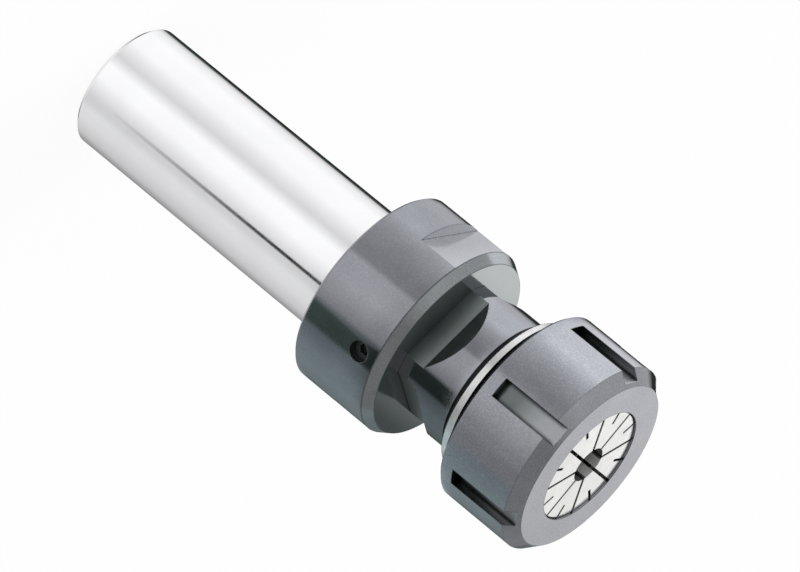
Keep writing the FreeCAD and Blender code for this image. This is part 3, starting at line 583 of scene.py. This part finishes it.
def only_in_metal(piece):
    """Hides a piece of the stage from all but the rays that polished metal sends on."""
    piece.visible_camera = False
    piece.visible_diffuse = False
    piece.visible_shadow = False
    piece.visible_transmission = False


def curved_wall(name, turn_from, turn_to, low, high, reach, board):
    """An upright wall of light round the Z axis, at (r sin a, -r cos a, z) for turn a."""
    count = 97
    turns = np.radians(np.linspace(turn_from, turn_to, count))
    rim = np.stack([reach * np.sin(turns), -reach * np.cos(turns)], axis=1)
    points = [(x, y, low) for x, y in rim] + [(x, y, high) for x, y in rim]
    faces = [(index, index + 1, count + index + 1, count + index) for index in range(count - 1)]
    only_in_metal(stage_mesh(name, points, faces, board))


def room_lights(start, wide, gap, window, flag, fill):
    """Stops for one height of the room: a wide light to the left from start on, a gap, a window in
    front of the chuck, a dark flag and a fill light to the right, and darkness behind."""
    return [(-165, 0.03), (start - 5, 0.06), (start, 0.4 * wide), (start + 9, 0.7 * wide),
            (start + 27, 0.9 * wide), (-75, wide), (-60, 0.5 * (wide + gap)), (-45, 0.2 * wide + 0.8 * gap),
            (-28, gap), (-18, gap), (-13, window), (10, window), (26, 0.8 * window), (38, 0.6 * window),
            (45, 1.2 * flag), (52, flag), (65, flag), (71, 0.3 * flag + 0.6 * fill), (95, fill),
            (120, fill), (145, 0.6 * fill), (165, 0.2 * fill)]


# the room as the blackened walls mirror it: one layout of lights, dimmed or raised by height, for
# the collar, the neck, the bright band and the nut
board, tree, glow, split = light_board("surround")
turn = heading_of(tree, split)
COOL = (0.84, 1.0, 1.03)
levels = level_ramp(tree, turn, room_lights(-147, 1.15, 0.6, 0.97, 0.14, 0.5), COOL)
for lights, change_from, change_to in (((-138, 1.4, 0.51, 0.82, 0.05, 0.33), 38 * MM, 41 * MM),
                                       ((-147, 0.45, 1.15, 1.3, 1.0, 1.1), 60.3 * MM, 61.2 * MM),
                                       ((-147, 1.7, 0.55, 0.95, 0.45, 0.52), 65 * MM, 67 * MM)):
    rise = spread(tree, split.outputs["Z"], 0.0, 1.0, change_from, change_to)
    levels = blend_colours(tree, rise, levels, level_ramp(tree, turn, room_lights(*lights), COOL))
tree.links.new(levels, glow)
curved_wall("surround", -180, 180, 16 * MM, 130 * MM, 160 * MM, board)

# a bright board behind the chuck, which the nut's and the collet's faces mirror
board, tree, glow, split = light_board("back_light")
side = spread(tree, split.outputs["X"], 0.0, 1.0, -20 * MM, 20 * MM)
tree.links.new(blend_colours(tree, side, (1.16, 1.16, 1.16), (1.0, 1.0, 1.0)), glow)
curved_wall("back_light", 160, 200, 230 * MM, 420 * MM, 400 * MM, board)

# a small board close behind the neck, dark towards +X, which the cap's face mirrors
board, tree, glow, split = light_board("cap_board")
side = spread(tree, split.outputs["X"], 0.0, 1.0, -20 * MM, 22 * MM)
tree.links.new(blend_colours(tree, side, (1.85, 1.85, 1.85), (0.20, 0.23, 0.22)), glow)
only_in_metal(stage_mesh("cap_board", [(-34 * MM, 60 * MM, 112 * MM), (34 * MM, 60 * MM, 112 * MM),
                                       (34 * MM, 60 * MM, 150 * MM), (-34 * MM, 60 * MM, 150 * MM)],
                         [(0, 1, 2, 3)], board))

# a narrow dark card on the floor, whose image is the thin line along the shank
board, tree, glow, split = light_board("line_card")
away = tree.nodes.new("ShaderNodeVectorMath")
away.operation = "LENGTH"
tree.links.new(tree.nodes.new("ShaderNodeTexCoord").outputs["Object"], away.inputs[0])
fade = spread(tree, away.outputs["Value"], 0.0, 1.0, 40 * MM, 135 * MM)
tree.links.new(blend_colours(tree, fade, (0.62, 0.62, 0.62), (0.02, 0.02, 0.02)), glow)
WALL_TURN = math.radians(25)
LINE_HALF = 0.026
start = np.array([math.sin(WALL_TURN), -math.cos(WALL_TURN)]) * 16.0 * MM
ahead = np.array([math.sin(2 * WALL_TURN), -math.cos(2 * WALL_TURN)])
beside = np.array([ahead[1], -ahead[0]])
corners = []
for distance, side in ((20, -1), (20, 1), (190, 1), (190, -1)):
    half_width = side * (14.5 + 2 * distance) * LINE_HALF * MM
    corners.append((*(start + ahead * distance * MM + beside * half_width), 0.0))
only_in_metal(stage_mesh("line_card", corners, [(0, 1, 2, 3)], board))

# the room as the shank mirrors it: bands by heading below the horizon, plain light from beneath
world = bpy.data.worlds.new("studio")
bpy.context.scene.world = world
world.use_nodes = True
tree = world.node_tree
tree.nodes.clear()
split = tree.nodes.new("ShaderNodeSeparateXYZ")
tree.links.new(tree.nodes.new("ShaderNodeTexCoord").outputs["Generated"], split.inputs[0])
BRIGHT_BANDS = [(-170, 0.02), (-149, 0.04), (-143, 0.6), (-130, 0.88), (-105, 1.03), (-65, 1.0), (-30, 0.7),
                (-10, 1.03), (15, 1.0), (50, 0.67), (60, 0.65), (75, 0.76), (95, 0.73), (130, 0.58),
                (150, 0.38), (165, 0.3), (175, 0.1)]
bands = level_ramp(tree, heading_of(tree, split), BRIGHT_BANDS, (1.0, 1.0, 1.02))
beneath = spread(tree, split.outputs["Z"], 1.0, 0.0, -0.85, -0.6)
bands = blend_colours(tree, beneath, bands, (0.85, 0.85, 0.85))
overhead = spread(tree, split.outputs["X"], 0.82, 0.43, -0.45, 0.15)
above = spread(tree, split.outputs["Z"], 0.0, 1.0, 0.0, 0.12)
reflected = blend_colours(tree, above, bands, overhead)
room = tree.nodes.new("ShaderNodeBackground")
tree.links.new(reflected, room.inputs["Color"])
fill = tree.nodes.new("ShaderNodeBackground")
fill.inputs["Color"].default_value = (0.72, 0.72, 0.72, 1)
white = tree.nodes.new("ShaderNodeBackground")
white.inputs["Color"].default_value = (1, 1, 1, 1)
path = tree.nodes.new("ShaderNodeLightPath")
metal_or_fill = tree.nodes.new("ShaderNodeMixShader")
tree.links.new(path.outputs["Is Glossy Ray"], metal_or_fill.inputs["Fac"])
tree.links.new(fill.outputs[0], metal_or_fill.inputs[1])
tree.links.new(room.outputs[0], metal_or_fill.inputs[2])
camera_or_else = tree.nodes.new("ShaderNodeMixShader")
tree.links.new(path.outputs["Is Camera Ray"], camera_or_else.inputs["Fac"])
tree.links.new(metal_or_fill.outputs[0], camera_or_else.inputs[1])
tree.links.new(white.outputs[0], camera_or_else.inputs[2])
world_out = tree.nodes.new("ShaderNodeOutputWorld")
tree.links.new(camera_or_else.outputs[0], world_out.inputs["Surface"])


def soft_lamp(name, place, width, power):
    """A square lamp that looks at the middle of the chuck, and that no metal mirrors."""
    lamp = bpy.data.lights.new(name, "AREA")
    lamp.size = width
    lamp.energy = power
    holder = bpy.data.objects.new(name, lamp)
    holder.visible_glossy = False
    bpy.context.scene.collection.objects.link(holder)
    aim = Vector((0, 0, 80 * MM)) - Vector(place)
    holder.matrix_world = Matrix.Translation(place) @ aim.to_track_quat("-Z", "Y").to_matrix().to_4x4()


soft_lamp("key_lamp", (-0.9, 0.5, 0.9), 0.7, 5.0)
soft_lamp("fill_lamp", (0.7, -0.7, 1.1), 0.9, 3.0)

# Camera. A long lens looks down on the standing chuck and is rolled, so that the collet points
# to the lower right, as the photograph was taken or turned.
LENS = 337.5
SWING = math.radians(-39.308)
TILT = math.radians(23.14)
REAR_END = Vector((-63.214, 46.289, -1722.347)) * MM
spindle_way = Vector((math.cos(TILT) * math.cos(SWING), math.cos(TILT) * math.sin(SWING), math.sin(TILT)))
towards = Vector((0, 0, 1))
depth_way = -(towards - spindle_way * math.sin(TILT)) / math.cos(TILT)
side_way = depth_way.cross(spindle_way)
seen_from = Matrix((
    (side_way.x, depth_way.x, spindle_way.x, REAR_END.x),
    (side_way.y, depth_way.y, spindle_way.y, REAR_END.y),
    (side_way.z, depth_way.z, spindle_way.z, REAR_END.z),
    (0, 0, 0, 1),
))
camera_data = bpy.data.cameras.new("camera")
camera_data.lens = LENS
camera_data.sensor_width = 36.0
camera_data.clip_start = 0.05
camera_data.clip_end = 50.0
camera = bpy.data.objects.new("camera", camera_data)
bpy.context.scene.collection.objects.link(camera)
camera.matrix_world = seen_from.inverted()
bpy.context.scene.camera = camera
bpy.context.scene.view_settings.view_transform = "Standard"
